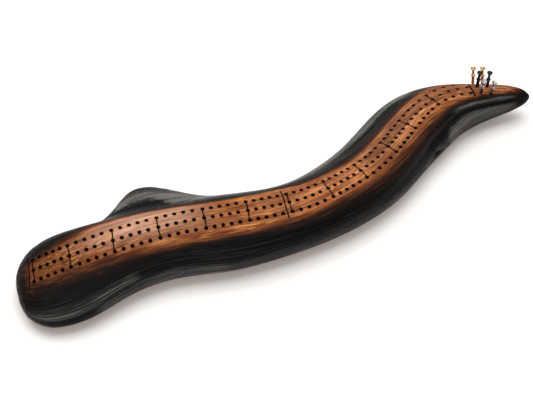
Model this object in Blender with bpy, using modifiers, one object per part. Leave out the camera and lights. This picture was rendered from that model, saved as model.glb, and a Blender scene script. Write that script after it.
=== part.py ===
"""Cribbage board carved from one curved log, with six metal pegs and a peg store underneath.

Lengths are in metres and +Z is up. The log lies along X with its blunt end at -X. A place on the log is
a share of its length from the blunt end, and a side distance from its middle line, positive towards -Y.
"""

import math

import bmesh
import bpy
import numpy as np
from mathutils import Matrix, Vector

# Clearances
FIT_GAP = 0.0003
CUT_OVERRUN = 0.002
MERGE_DISTANCE = 0.00001

# The peg store under the board, and the plate that closes it
STORE_SHARE = 0.52
STORE_LENGTH = 0.040
STORE_WIDTH = 0.018
STORE_DEPTH = 0.015
PLATE_THICKNESS = 0.001
PLATE_LAP = 0.004
PLATE_WIDTH = STORE_WIDTH + 2 * PLATE_LAP
SCREW_INSET = 0.008
SCREW_SPACING = STORE_LENGTH + 2 * SCREW_INSET
SCREW_SHANK = 0.003
SCREW_HEAD = 0.0058
SCREW_HEAD_HEIGHT = 0.0012
SCREW_LENGTH = 0.010
SCREW_SEAT = PLATE_THICKNESS + 2 * FIT_GAP
SCREW_HEAD_POINTS = 5
SLOT_WIDTH = 0.0008
SLOT_DEPTH = 0.0005
NOTCH_POINTS = 6
CATCH_OVERRUN_ANGLE = 0.06
ROUND_SIDES = 24
TABLE_GAP = 0.0004

# The log
LENGTH = 0.5524
SWAY = 0.031
HALF_WIDTH = 0.040
HEIGHT = 0.0485
UNDERSIDE = SCREW_SEAT + SCREW_HEAD_HEIGHT + TABLE_GAP
THICK_END_REACH = 0.0303
POINTED_REACH = 0.1032
LOBE_REACH = 0.0447
LOBE_RISE = 0.0325
LOBE_FALL = 0.0435
HOLLOW_DEPTH = 0.0025

# Shape of the log at equal steps along it, as shares of the sizes above
SWAY_SHARES = (
    0.70, 0.40, 0.38, 0.22, -0.05, -0.465, -0.83, -1.01, -0.91, -0.64, -0.045, 0.545, 0.554, 0.147,
    -0.462,
)
WIDTH_SHARES = (
    0.89, 1.26, 1.055, 0.865, 0.88, 1.01, 0.915, 0.875, 0.97, 1.02, 0.99, 1.042, 0.817, 0.578, 0.627,
)
HEIGHT_SHARES = (
    0.62, 0.82, 0.92, 0.967, 0.993, 1.00, 0.996, 0.976, 0.924, 0.885, 0.855, 0.845, 0.922, 0.897, 1.065,
)
LEAN_SHARES = (
    0.35, 0.545, 0.50, 0.33, 0.22, 0.13, 0.065, -0.03, -0.22, -0.46, -0.61, -0.625, -0.32, -0.17, 0.46,
)
TRACK_SHARES = (
    -0.235, -0.232, -0.106, -0.07, -0.067, -0.045, -0.047, 0.07, 0.07, 0.157, 0.152, 0.067, -0.159,
    -0.212, 0.208,
)
SLANT_SHARES = (
    -0.135, -0.25, -0.26, -0.157, -0.047, -0.028, -0.10, -0.152, -0.195, -0.228, -0.19, -0.083, 0.065,
    0.036, 0.80,
)
HOLLOW_SHARES = (0, 0, 0, 0, 0, 0, 0, 0, 0.2, 0.5, 0.8, 1, 1, 1, 0.8)
BELLY_SHARE = 0.47
LOBE_SHARE = 0.248
SLOPE_STEP_SHARE = 0.001

# How square the sections and the two ends are: 2 is an ellipse
TOP_POWER = 2.2
SIDE_POWER = 2.3
UNDER_POWER = 2.8
THICK_END_POWER = 2.68
POINTED_POWER = 1.77

# Angles round a section, from its front edge over the top
LOBE_ANGLE = math.pi + 0.15
LOBE_SPREAD_ANGLE = 0.5
HOLLOW_ANGLE = 0.45
HOLLOW_SPREAD_ANGLE = 0.28

# Faces of the log
STATIONS = 56
RING_POINTS = 34
TIP_CROWDING_SHARE = 0.8
TRACK_SAMPLES = 600

# The track
ROWS = (-1, 0, 1)
ROW_GAP = 0.011
TRACK_START_SHARE = 0.0316
TRACK_SPAN_SHARE = 0.8734
HOLES_IN_GROUP = 5
GROUP_SHARES = (0.0692, 0.0847, 0.0875, 0.0873, 0.083, 0.0808, 0.0831, 0.0788, 0.0842, 0.0735, 0.0863, 0.1065)
HOLE_STEP_SHARE = 0.1945
HOLE_DIAMETER = 0.0032
HOLE_DEPTH = 0.010
HOLE_SIDES = 8
LINE_WIDTH = 0.001
LINE_DEPTH = 0.0007
PLAIN_LINE_REACH = 0.017
PLAIN_LINE_BACK = 0.0045
END_LINE_REACH = 0.0135
END_LINE_BACK = 0.0060
LINE_POINTS = 5
MIDDLE_GROUP = 6

# The pegs
PEG_HEIGHT = 0.0185
# How far the pegs of each row, from the back, lean towards X and Y as they rise
PEG_LEAN_SHARES = ((0.07, 0.215, 1.0), (0.135, 0.075, 1.0), (0.02, -0.12, 1.0))
PEG_PITCH = 0.0101
FIRST_PEG_BACK = 0.0013
HEAD_DIAMETER = 0.0059
SEAT_LIP = 0.0001
PEG_SEAT = HOLE_DIAMETER + 2 * SEAT_LIP
PEG_OUTLINE_SHARES = (
    (0.975, 0.0),
    (1.0, 0.80),
    (0.955, 1.0),
    (0.895, 0.80),
    (0.820, 0.48),
    (0.730, 0.42),
    (0.620, 0.46),
    (0.560, 0.64),
    (0.510, 0.80),
    (0.465, 0.74),
    (0.420, 0.56),
    (0.200, 0.54),
    (0.030, 0.58),
)
TIP_SHARE = 0.8
PEG_SIDES = 12

# The feet
FOOT_DIAMETER = 0.011
FOOT_SEAT_DEPTH = 0.0012
FOOT_ROUNDING = 0.0008
FOOT_ROUNDING_POINTS = 4
FOOT_SHARES = (0.10, 0.36, 0.66, 0.88)
FOOT_SIDE_SHARES = (-0.35, 0.35, 0.35, -0.10)


def smooth(values, share):
    """Uniform cubic B-spline drawn through a table, at shares from 0 to 1 of its span."""
    table = np.array(values, dtype=float)
    table = np.concatenate([[2 * table[0] - table[1]], table, [2 * table[-1] - table[-2]]])
    spans = len(values) - 1
    place = np.clip(np.asarray(share, dtype=float), 0, 1) * spans
    index = np.minimum(place.astype(int), spans - 1)
    t = place - index
    weights = ((1 - t) ** 3, 3 * t**3 - 6 * t**2 + 4, 1 + 3 * t + 3 * t**2 - 3 * t**3, t**3)
    return sum(weight * table[index + k] for k, weight in enumerate(weights)) / 6


def end_round(distance, reach, power):
    """Rise from 0 at a tip to 1 at the given reach from it."""
    x = np.clip(distance / reach, 0, 1)
    return (1 - (1 - x) ** power) ** (1 / power)


def spine(share):
    """Plan place of the log's middle line, and its unit heading."""
    x = (share - 0.5) * LENGTH
    y = SWAY * smooth(SWAY_SHARES, share)
    low = np.clip(share - SLOPE_STEP_SHARE, 0, 1)
    high = np.clip(share + SLOPE_STEP_SHARE, 0, 1)
    slope = SWAY * (smooth(SWAY_SHARES, high) - smooth(SWAY_SHARES, low)) / (LENGTH * (high - low))
    norm = np.hypot(1, slope)
    return x, y, 1 / norm, slope / norm


def section(share):
    """Half width, height of the widest level, rise above and drop below it, crown's lean, end rounding."""
    rounding = end_round(share * LENGTH, THICK_END_REACH, THICK_END_POWER)
    rounding = rounding * end_round((1 - share) * LENGTH, POINTED_REACH, POINTED_POWER)
    height = HEIGHT * smooth(HEIGHT_SHARES, share)
    half_width = HALF_WIDTH * smooth(WIDTH_SHARES, share) * rounding
    belly = BELLY_SHARE * height
    return half_width, belly, (height - belly) * rounding, belly * rounding, smooth(LEAN_SHARES, share), rounding


def plan(share, side):
    """Plan place at a side distance from the middle line."""
    x, y, along_x, along_y = spine(share)
    return x + along_y * side, y - along_x * side


def top_height(share, side):
    """Height of the upper surface at a side distance from the middle line."""
    half_width, belly, rise, _, lean, _ = section(share)
    across = np.clip(side / half_width, -1, 1)
    return belly + rise * (1 - np.abs(across) ** SIDE_POWER) ** (1 / TOP_POWER) * (1 - lean * across)


def power_wave(wave, power):
    """A sine or cosine bent towards a square wave."""
    return np.sign(wave) * np.abs(wave) ** (2 / power)


def ring(share, angles):
    """Points round the section at one share, in the board's own frame."""
    half_width, belly, rise, drop, lean, rounding = section(share)
    across = power_wave(np.cos(angles), SIDE_POWER)
    upper = rise * power_wave(np.abs(np.sin(angles)), TOP_POWER) * (1 - lean * across)
    lower = -drop * power_wave(np.abs(np.sin(angles)), UNDER_POWER)
    z = np.maximum(belly + np.where(np.sin(angles) >= 0, upper, lower), UNDERSIDE)
    offset = (share - LOBE_SHARE) * LENGTH
    reach = LOBE_RISE if offset < 0 else LOBE_FALL
    lobe = LOBE_REACH * rounding * math.exp(-((offset / reach) ** 2))
    hollow = HOLLOW_DEPTH * rounding * smooth(HOLLOW_SHARES, share)
    side = half_width * across
    side = side - lobe * np.exp(-(((angles - LOBE_ANGLE) / LOBE_SPREAD_ANGLE) ** 2))
    side = side - hollow * np.exp(-(((angles - HOLLOW_ANGLE) / HOLLOW_SPREAD_ANGLE) ** 2))
    x, y = plan(share, side)
    return np.stack([x, y, z], axis=1)


def station_shares(count):
    """Shares of the length for the rings, closer together near the two tips, with one through the fin."""
    even = np.linspace(0, 1, count)
    eased = 0.5 - 0.5 * np.cos(math.pi * even)
    shares = even + TIP_CROWDING_SHARE * (eased - even)
    return np.union1d(shares, LOBE_SHARE)


def board_rings(stations, ring_points):
    """The two tips and all the rings between them."""
    angles = np.arange(ring_points) * 2 * math.pi / ring_points
    shares = station_shares(stations)
    rings = [ring(share, angles) for share in shares[1:-1]]
    tips = []
    for share in (shares[0], shares[-1]):
        x, y, _, _ = spine(share)
        tips.append(np.array([x, y, BELLY_SHARE * HEIGHT * smooth(HEIGHT_SHARES, share)]))
    return tips, rings


def board_middle():
    """Plan middle of the log's box, which becomes the origin, on the table."""
    tips, rings = board_rings(STATIONS, RING_POINTS)
    points = np.concatenate([tips] + rings)
    low, high = points.min(axis=0), points.max(axis=0)
    return Vector(((low[0] + high[0]) / 2, (low[1] + high[1]) / 2, 0))


ORIGIN = board_middle()


def surface_point(share, side):
    """Point on the upper surface."""
    x, y = plan(share, side)
    return Vector((x, y, top_height(share, side))) - ORIGIN


def surface_frame(share, side):
    """Frame on the upper surface: X along the log, Z out of the wood."""
    here = surface_point(share, side)
    step = SLOPE_STEP_SHARE * LENGTH
    along = surface_point(share + SLOPE_STEP_SHARE, side) - surface_point(share - SLOPE_STEP_SHARE, side)
    across = surface_point(share, side - step) - surface_point(share, side + step)
    out = along.cross(across).normalized()
    along.normalize()
    frame = Matrix((along, out.cross(along), out)).transposed().to_4x4()
    frame.translation = here
    return frame


class Track:
    """Middle row of the track, measured along its own length."""

    def __init__(self):
        self.shares = np.linspace(0, 1, TRACK_SAMPLES)
        x, y = plan(self.shares, self.side(self.shares))
        steps = np.hypot(np.diff(x), np.diff(y))
        self.lengths = np.concatenate([[0], np.cumsum(steps)])
        self.start = TRACK_START_SHARE * self.lengths[-1]
        self.span = TRACK_SPAN_SHARE * self.lengths[-1]
        self.marks = np.concatenate([[0], np.cumsum(GROUP_SHARES)]) * self.span / sum(GROUP_SHARES)

    def side(self, share):
        return HALF_WIDTH * smooth(TRACK_SHARES, share)

    def place(self, mark, across):
        """Share and side of a place: a distance along the track, and one across it over the surface."""
        share = np.interp(self.start + mark, self.lengths, self.shares)
        side = self.side(share)
        slope = (top_height(share, side + ROW_GAP / 2) - top_height(share, side - ROW_GAP / 2)) / ROW_GAP
        across = across / math.hypot(1, slope)
        slant = smooth(SLANT_SHARES, share)
        share = float(np.interp(self.start + mark + slant * across, self.lengths, self.shares))
        return share, float(self.side(share) + across)

    def hole_marks(self):
        """Distances along the track of every hole of one row."""
        marks = []
        for start, end in zip(self.marks[:-1], self.marks[1:]):
            step = (end - start) * HOLE_STEP_SHARE
            marks += [start + step * k for k in range(HOLES_IN_GROUP)]
        return marks

    def peg_marks(self):
        """Distances along the track of the two columns of start holes."""
        first = self.marks[-1] - FIRST_PEG_BACK
        return [first, first + PEG_PITCH]

    def line_marks(self):
        """One line through the first holes of each group, and plain lines at start, middle and end."""
        through = [(mark, ROW_GAP) for mark in self.marks[:-1]]
        plain = [(self.marks[k] - PLAIN_LINE_BACK, PLAIN_LINE_REACH) for k in (0, MIDDLE_GROUP)]
        return through + plain + [(self.marks[-1] - END_LINE_BACK, END_LINE_REACH)]


TRACK = Track()


def hole_frames():
    """Mouths of the track's holes."""
    return [
        surface_frame(*TRACK.place(mark, row * ROW_GAP)) for mark in TRACK.hole_marks() for row in ROWS
    ]


def start_frame(share, side, lean_shares):
    """Frame of a peg in its start hole, which is drilled the way that the pegs of its row lean.

    It lies so far out of the wood that the peg's seat clears the wood all round.
    """
    frame = surface_frame(share, side)
    out = frame.col[2].to_3d()
    lean = Vector(lean_shares).normalized()
    along = frame.col[1].to_3d().cross(lean).normalized()
    drilled = Matrix((along, lean.cross(along), lean)).transposed().to_4x4()
    drilled.translation = frame.translation + lean * (PEG_SEAT / 2 * math.tan(out.angle(lean)))
    return drilled


def peg_frames(row):
    """Mouths of a row's two start holes."""
    lean = PEG_LEAN_SHARES[ROWS.index(row)]
    return [start_frame(*TRACK.place(mark, row * ROW_GAP), lean) for mark in TRACK.peg_marks()]


def make_material(name, colour, roughness, metallic=0.0):
    material = bpy.data.materials.new(name)
    material.use_nodes = True
    shader = material.node_tree.nodes["Principled BSDF"]
    shader.inputs["Base Color"].default_value = (*colour, 1.0)
    shader.inputs["Roughness"].default_value = roughness
    shader.inputs["Metallic"].default_value = metallic
    material.diffuse_color = (*colour, 1.0)
    return material


def add_object(name, mesh, collection, material=None):
    made = bpy.data.objects.new(name, mesh)
    collection.objects.link(made)
    if material:
        mesh.materials.append(material)
    return made


def mesh_from(bm, name):
    """Close the edit mesh into a named mesh whose faces point out."""
    bmesh.ops.recalc_face_normals(bm, faces=bm.faces)
    mesh = bpy.data.meshes.new(name)
    bm.to_mesh(mesh)
    bm.free()
    return mesh


def add_cutter(name, bm, collection):
    cutter = add_object(name, mesh_from(bm, name), collection)
    cutter.hide_render = True
    cutter.display_type = "WIRE"
    return cutter


def cut(target, cutter, solver="EXACT"):
    modifier = target.modifiers.new(cutter.name, "BOOLEAN")
    modifier.operation = "DIFFERENCE"
    modifier.solver = solver
    modifier.object = cutter


def loft(bm, loops, cap=True):
    """Skin a row of closed loops of points, with flat caps where asked."""
    rows = [[bm.verts.new(point) for point in loop] for loop in loops]
    for near, far in zip(rows[:-1], rows[1:]):
        for k in range(len(near)):
            bm.faces.new((near[k], near[k - 1], far[k - 1], far[k]))
    if cap:
        bm.faces.new(rows[0])
        bm.faces.new(reversed(rows[-1]))
    return rows


def log_mesh():
    """The bare log: rings from tip to tip, with a fan of faces at each tip."""
    tips, rings = board_rings(STATIONS, RING_POINTS)
    bm = bmesh.new()
    rows = loft(bm, [[Vector(point) - ORIGIN for point in points] for points in rings], cap=False)
    for tip, row in zip(tips, (rows[0], rows[-1])):
        centre = bm.verts.new(Vector(tip) - ORIGIN)
        for k in range(len(row)):
            bm.faces.new((row[k - 1], row[k], centre))
    mesh = mesh_from(bm, "board_body")
    mesh.shade_smooth()
    mesh.set_sharp_from_angle(angle=math.radians(40))
    return mesh


def add_cylinder(bm, frame, radius, low, high, sides):
    """Closed cylinder along the frame's Z, from low to high."""
    place = frame @ Matrix.Translation((0, 0, (low + high) / 2))
    return bmesh.ops.create_cone(
        bm, cap_ends=True, segments=sides, radius1=radius, radius2=radius, depth=high - low, matrix=place
    )["verts"]


def hole_cutter(collection):
    """One prism for each hole of the track and each start hole."""
    bm = bmesh.new()
    frames = hole_frames()
    for row in ROWS:
        frames += peg_frames(row)
    for frame in frames:
        add_cylinder(bm, frame, HOLE_DIAMETER / 2, -HOLE_DEPTH, CUT_OVERRUN, HOLE_SIDES)
    return add_cutter("hole_cutter", bm, collection)


def line_cutter(collection):
    """A thin curved bar for each scribed line, sunk into the crown of the log."""
    bm = bmesh.new()
    half = LINE_WIDTH / 2
    for mark, reach in TRACK.line_marks():
        loops = []
        for across in np.linspace(-reach, reach, LINE_POINTS):
            frame = surface_frame(*TRACK.place(mark, across))
            corners = ((-half, -LINE_DEPTH), (half, -LINE_DEPTH), (half, CUT_OVERRUN), (-half, CUT_OVERRUN))
            loops.append([frame @ Vector((x, 0, z)) for x, z in corners])
        loft(bm, loops)
    return add_cutter("line_cutter", bm, collection)


def under_frame(share, side):
    """Frame on the flat underside: X along the log, Z down out of the wood."""
    x, y = plan(share, side)
    _, _, along_x, along_y = spine(share)
    along = Vector((along_x, along_y, 0))
    out = Vector((0, 0, -1))
    frame = Matrix((along, out.cross(along), out)).transposed().to_4x4()
    frame.translation = Vector((x, y, UNDERSIDE)) - ORIGIN
    return frame


STORE = under_frame(STORE_SHARE, 0.0)
PIVOT = STORE @ Matrix.Translation((-SCREW_SPACING / 2, 0, 0))
CATCH = STORE @ Matrix.Translation((SCREW_SPACING / 2, 0, 0))


def foot_frames():
    frames = []
    for share, side_share in zip(FOOT_SHARES, FOOT_SIDE_SHARES):
        half_width = section(share)[0]
        frames.append(under_frame(share, side_share * half_width))
    return frames


def under_cutter(collection):
    """The peg store with round ends, the screws' pilot holes and the feet's seats."""
    bm = bmesh.new()
    stretch = (STORE_LENGTH - STORE_WIDTH) / 2
    verts = add_cylinder(bm, Matrix.Identity(4), STORE_WIDTH / 2, -STORE_DEPTH, CUT_OVERRUN, ROUND_SIDES)
    for vert in verts:
        vert.co.x += math.copysign(stretch, vert.co.x)
    bmesh.ops.transform(bm, matrix=STORE, verts=verts)
    for frame in (PIVOT, CATCH):
        radius = SCREW_SHANK / 2 + FIT_GAP
        add_cylinder(bm, frame, radius, -SCREW_LENGTH, CUT_OVERRUN, HOLE_SIDES)
    for frame in foot_frames():
        radius = FOOT_DIAMETER / 2 + FIT_GAP
        add_cylinder(bm, frame, radius, -FOOT_SEAT_DEPTH, CUT_OVERRUN, ROUND_SIDES)
    return add_cutter("under_cutter", bm, collection)


def add_turned(name, profile, frame, sides, collection, material):
    """Turned piece: a profile from its top down its outer side, spun about the frame's Z."""
    mesh = bpy.data.meshes.new(name)
    points = [(radius, 0, height) for radius, height in profile]
    mesh.from_pydata(points, [(k, k + 1) for k in range(len(points) - 1)], [])
    turned = add_object(name, mesh, collection, material)
    turned.matrix_world = frame
    screw = turned.modifiers.new("turn", "SCREW")
    screw.angle = 2 * math.pi
    screw.steps = sides
    screw.render_steps = sides
    screw.use_merge_vertices = True
    screw.merge_threshold = MERGE_DISTANCE
    screw.use_smooth_shade = True
    return turned


def peg_profile():
    """Head, neck, bead and flared seat above the board, and a tapered tip in the hole."""
    mouth = HOLE_DIAMETER / 2 * math.cos(math.pi / HOLE_SIDES) - FIT_GAP
    upper = [(HEAD_DIAMETER / 2 * radius, PEG_HEIGHT * height) for height, radius in PEG_OUTLINE_SHARES]
    lower = [(PEG_SEAT / 2, FIT_GAP), (mouth, FIT_GAP), (mouth * TIP_SHARE, FIT_GAP - HOLE_DEPTH)]
    return upper + lower + [(0, FIT_GAP - HOLE_DEPTH)]


def screw_profile():
    """Low domed head and a plain shank, from the head's top down to the point."""
    head = [
        (SCREW_HEAD / 2 * math.sin(angle), SCREW_SEAT + SCREW_HEAD_HEIGHT * (1 + math.cos(angle)) / 2)
        for angle in np.linspace(0, math.pi / 2, SCREW_HEAD_POINTS)
    ]
    shank = SCREW_SHANK / 2
    point = FIT_GAP - SCREW_LENGTH
    return head + [(SCREW_HEAD / 2, SCREW_SEAT), (shank, SCREW_SEAT), (shank, point), (0, point)]


def foot_profile():
    """Rubber bumper from its seat in the wood down to the table."""
    radius = FOOT_DIAMETER / 2
    top, bottom = FIT_GAP - FOOT_SEAT_DEPTH, UNDERSIDE
    rounded = [
        (radius - FOOT_ROUNDING * (1 - math.cos(angle)), bottom - FOOT_ROUNDING * (1 - math.sin(angle)))
        for angle in np.linspace(0, math.pi / 2, FOOT_ROUNDING_POINTS)
    ]
    return [(0, bottom)] + rounded[::-1] + [(radius, top), (0, top)]


def arc(centre, radius, start, end, count):
    angles = np.linspace(start, end, count)
    return [(centre[0] + radius * math.cos(a), centre[1] + radius * math.sin(a)) for a in angles]


def flat_solid(name, outlines, thickness, frame, collection, material=None):
    """Flat solid of the given thickness, centred on the frame's XY plane. Inner outlines are holes."""
    curve = bpy.data.curves.new(name, "CURVE")
    curve.dimensions = "2D"
    curve.fill_mode = "BOTH"
    curve.extrude = thickness / 2
    for outline in outlines:
        spline = curve.splines.new("POLY")
        spline.points.add(len(outline) - 1)
        for point, (x, y) in zip(spline.points, outline):
            point.co = (x, y, 0, 1)
        spline.use_cyclic_u = True
    guide = bpy.data.objects.new(name + "_outline", curve)
    collection.objects.link(guide)
    depsgraph = bpy.context.evaluated_depsgraph_get()
    mesh = bpy.data.meshes.new_from_object(guide.evaluated_get(depsgraph))
    mesh.name = name
    bpy.data.objects.remove(guide)
    bm = bmesh.new()
    bm.from_mesh(mesh)
    bmesh.ops.remove_doubles(bm, verts=bm.verts, dist=MERGE_DISTANCE)
    bm.to_mesh(mesh)
    bm.free()
    solid = add_object(name, mesh, collection, material)
    solid.matrix_world = frame
    return solid


def build_board(collection, cutters, material):
    """The log with its lines, holes and seats. The exact solver loses the log at some hole places."""
    board = add_object("board_body", log_mesh(), collection, material)
    for cutter in (line_cutter(cutters), hole_cutter(cutters), under_cutter(cutters)):
        cut(board, cutter, solver="MANIFOLD")


def build_pegs(collection, materials):
    """Two pegs of each metal, standing in the two start holes of their own row."""
    for row, (name, material) in zip(ROWS, materials.items()):
        for number, frame in enumerate(peg_frames(row), start=1):
            add_turned(f"{name}_peg_{number}", peg_profile(), frame, PEG_SIDES, collection, material)


def build_store_cover(collection, cutters, material):
    """Plate that swings on one screw, with an open arc that hooks round the other screw."""
    half = PLATE_WIDTH / 2
    outline = arc((SCREW_SPACING, 0), half, -math.pi / 2, math.pi / 2, ROUND_SIDES // 2 + 1)
    outline += arc((0, 0), half, math.pi / 2, 3 * math.pi / 2, ROUND_SIDES // 2 + 1)
    clearance = SCREW_SHANK / 2 + FIT_GAP
    pivot_hole = arc((0, 0), clearance, 0, -2 * math.pi, ROUND_SIDES + 1)[:-1]
    frame = PIVOT @ Matrix.Translation((0, 0, FIT_GAP + PLATE_THICKNESS / 2))
    plate = flat_solid("storage_cover", [outline, pivot_hole], PLATE_THICKNESS, frame, collection, material)
    opening = math.asin(min(1, half / SCREW_SPACING)) + CATCH_OVERRUN_ANGLE
    notch = arc((SCREW_SPACING, 0), clearance, math.pi, 2 * math.pi, ROUND_SIDES // 2 + 1)
    notch += arc((0, 0), SCREW_SPACING + clearance, 0, opening, NOTCH_POINTS)[1:]
    notch += arc((0, 0), SCREW_SPACING - clearance, opening, 0, NOTCH_POINTS)[:-1]
    cutter = flat_solid("notch_cutter", [notch], PLATE_THICKNESS + 2 * CUT_OVERRUN, frame, cutters)
    cutter.hide_render = True
    cutter.display_type = "WIRE"
    cut(plate, cutter)


def build_screws(collection, cutters, material):
    for name, frame in (("cover_pivot_screw", PIVOT), ("cover_catch_screw", CATCH)):
        screw = add_turned(name, screw_profile(), frame, ROUND_SIDES, collection, material)
        top = SCREW_SEAT + SCREW_HEAD_HEIGHT
        bm = bmesh.new()
        size = Matrix.Diagonal((2 * SCREW_HEAD, SLOT_WIDTH, SLOT_DEPTH + CUT_OVERRUN, 1))
        place = frame @ Matrix.Translation((0, 0, top + (CUT_OVERRUN - SLOT_DEPTH) / 2))
        bmesh.ops.create_cube(bm, size=1, matrix=place @ size)
        cut(screw, add_cutter(name + "_slot", bm, cutters))


def build_feet(collection, material):
    for number, frame in enumerate(foot_frames(), start=1):
        add_turned(f"foot_{number}", foot_profile(), frame, ROUND_SIDES, collection, material)


def main():
    for old in list(bpy.data.objects):
        bpy.data.objects.remove(old)
    parts = bpy.data.collections.new("cribbage_board")
    cutters = bpy.data.collections.new("cutters")
    for collection in (parts, cutters):
        bpy.context.scene.collection.children.link(collection)
    wood = make_material("charred_wood", (0.045, 0.030, 0.024), 0.42)
    metals = {
        "brass": make_material("brass", (0.78, 0.50, 0.20), 0.24, 1.0),
        "black": make_material("black_metal", (0.015, 0.015, 0.017), 0.30, 0.6),
        "silver": make_material("silver_metal", (0.80, 0.79, 0.76), 0.18, 1.0),
    }
    rubber = make_material("black_rubber", (0.02, 0.02, 0.02), 0.80)
    build_board(parts, cutters, wood)
    build_pegs(parts, metals)
    build_store_cover(parts, cutters, metals["brass"])
    build_screws(parts, cutters, metals["brass"])
    build_feet(parts, rubber)


main()
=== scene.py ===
"""Looks of the cribbage board: a curved log, charred at its sides, with a golden track and turned pegs.

Lengths are in metres and +Z is up. The log lies along X with its blunt end at -X. A place on the log is
a share of its length from the blunt end, and a side distance from its middle line, positive towards -Y.
"""

import math

import bmesh
import bpy
import numpy as np
from mathutils import Matrix, Vector, noise
from mathutils.bvhtree import BVHTree
from mathutils.kdtree import KDTree


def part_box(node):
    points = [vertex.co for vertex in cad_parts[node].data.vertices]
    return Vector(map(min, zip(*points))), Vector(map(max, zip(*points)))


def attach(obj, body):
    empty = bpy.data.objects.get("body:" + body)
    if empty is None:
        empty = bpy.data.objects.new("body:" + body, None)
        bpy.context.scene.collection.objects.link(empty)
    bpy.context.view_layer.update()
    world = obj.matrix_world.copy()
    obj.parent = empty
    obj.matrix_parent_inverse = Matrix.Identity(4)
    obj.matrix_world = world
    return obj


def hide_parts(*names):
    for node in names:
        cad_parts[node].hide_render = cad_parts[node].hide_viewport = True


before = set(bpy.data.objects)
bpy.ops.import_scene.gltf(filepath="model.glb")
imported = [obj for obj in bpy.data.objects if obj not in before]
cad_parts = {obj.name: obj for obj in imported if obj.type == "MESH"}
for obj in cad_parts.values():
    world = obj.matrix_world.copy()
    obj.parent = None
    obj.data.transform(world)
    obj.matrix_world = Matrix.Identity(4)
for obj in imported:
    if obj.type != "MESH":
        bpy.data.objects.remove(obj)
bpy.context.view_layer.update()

# The log
LENGTH = 0.5524
SWAY = 0.031
HALF_WIDTH = 0.040
HEIGHT = 0.0485
UNDERSIDE = 0.0032
THICK_END_REACH = 0.0303
POINTED_REACH = 0.1032
LOBE_REACH = 0.0447
LOBE_RISE = 0.0325
LOBE_FALL = 0.0435
HOLLOW_DEPTH = 0.0025

# Shape of the log at equal steps along it, as shares of the sizes above
SWAY_SHARES = (
    0.70, 0.40, 0.38, 0.22, -0.05, -0.465, -0.83, -1.01, -0.91, -0.64, -0.045, 0.545, 0.554, 0.147,
    -0.462,
)
WIDTH_SHARES = (
    0.89, 1.26, 1.055, 0.865, 0.88, 1.01, 0.915, 0.875, 0.97, 1.02, 0.99, 1.042, 0.817, 0.578,
    0.627,
)
HEIGHT_SHARES = (
    0.62, 0.82, 0.92, 0.967, 0.993, 1.00, 0.996, 0.976, 0.924, 0.885, 0.855, 0.845, 0.922, 0.897,
    1.065,
)
LEAN_SHARES = (
    0.35, 0.545, 0.50, 0.33, 0.22, 0.13, 0.065, -0.03, -0.22, -0.46, -0.61, -0.625, -0.32, -0.17,
    0.46,
)
TRACK_SHARES = (
    -0.235, -0.232, -0.106, -0.07, -0.067, -0.045, -0.047, 0.07, 0.07, 0.157, 0.152, 0.067, -0.159,
    -0.212, 0.208,
)
SLANT_SHARES = (
    -0.135, -0.25, -0.26, -0.157, -0.047, -0.028, -0.10, -0.152, -0.195, -0.228, -0.19, -0.083,
    0.065, 0.036, 0.80,
)
HOLLOW_SHARES = (0, 0, 0, 0, 0, 0, 0, 0, 0.2, 0.5, 0.8, 1, 1, 1, 0.8)
BELLY_SHARE = 0.47
LOBE_SHARE = 0.248
SLOPE_STEP_SHARE = 0.001

# How square the sections and the two ends are: 2 is an ellipse
TOP_POWER = 2.2
SIDE_POWER = 2.3
UNDER_POWER = 2.8
THICK_END_POWER = 2.68
POINTED_POWER = 1.77

# Angles round a section, from its front edge over the top
LOBE_ANGLE = math.pi + 0.15
LOBE_SPREAD_ANGLE = 0.5
HOLLOW_ANGLE = 0.45
HOLLOW_SPREAD_ANGLE = 0.28

# Faces of the log
STATIONS = 56
RING_POINTS = 34
TIP_CROWDING_SHARE = 0.8
TRACK_SAMPLES = 600

# The track
ROWS = (-1, 0, 1)
ROW_GAP = 0.011
TRACK_START_SHARE = 0.0316
TRACK_SPAN_SHARE = 0.8734
HOLES_IN_GROUP = 5
GROUP_SHARES = (
    0.0692, 0.0847, 0.0875, 0.0873, 0.083, 0.0808, 0.0831, 0.0788, 0.0842, 0.0735, 0.0863, 0.1065,
)
HOLE_STEP_SHARE = 0.1945
HOLE_DIAMETER = 0.0032
HOLE_DEPTH = 0.010
HOLE_SIDES = 8
LINE_WIDTH = 0.0018
END_LINE_WIDTH = 0.0028
END_LINE_SHIFT = -0.0019
END_LINE_TURN = -0.0012
END_LINE_STRETCH = 1.22
LINE_DEPTH = 0.0007
LINE_FOOT_SHARE = 0.7
PLAIN_LINE_REACH = 0.017
PLAIN_LINE_BACK = 0.0045
END_LINE_REACH = 0.0135
END_LINE_BACK = 0.0060
MIDDLE_GROUP = 6

# The fine surface of the log
FINE_STATIONS = 520
FINE_RING_POINTS = 150
FINE_LINE_POINTS = 13
FINE_HOLE_SIDES = 24
START_HOLE_RINGS = 16
SINK = 0.00015
BOX_MARGIN = 0.00005
STRAIGHTEN_PASSES = 8
SHARP_ANGLE = math.radians(38)

# Drilled holes and scribed lines
SINK_RADIUS = 0.0019
SINK_DEPTH = 0.0004
RIM_REACH = 0.0012
CUT_OVERRUN = 0.0015
LINE_WOBBLE = 0.0004
LINE_WOBBLE_ANGLE = 2.2
LINE_WOBBLE_START_ANGLE = 1.7

# Relief of the wood: depths, ripples in a metre along, across and up the grain, and seeds
CARVING_DEPTH = 0.0004
CARVING_RATE = (14, 70, 70)
CARVING_SEED = 3.1
GRAIN_DEPTH = 0.0003
GRAIN_RATE = (22, 300, 300)
GRAIN_SEED = 7.7
GRAIN_LIMIT = 0.6
RELIEF_ON_TRACK_SHARE = 0.25

# How fast a stroke fades at its two ends, and how pale the painted sheen of strokes makes the char
# where they overlap
STROKE_FADE_SHARE = 0.02
PAINTED_CHAR_SHEEN_LIMIT = 1.8
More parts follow.
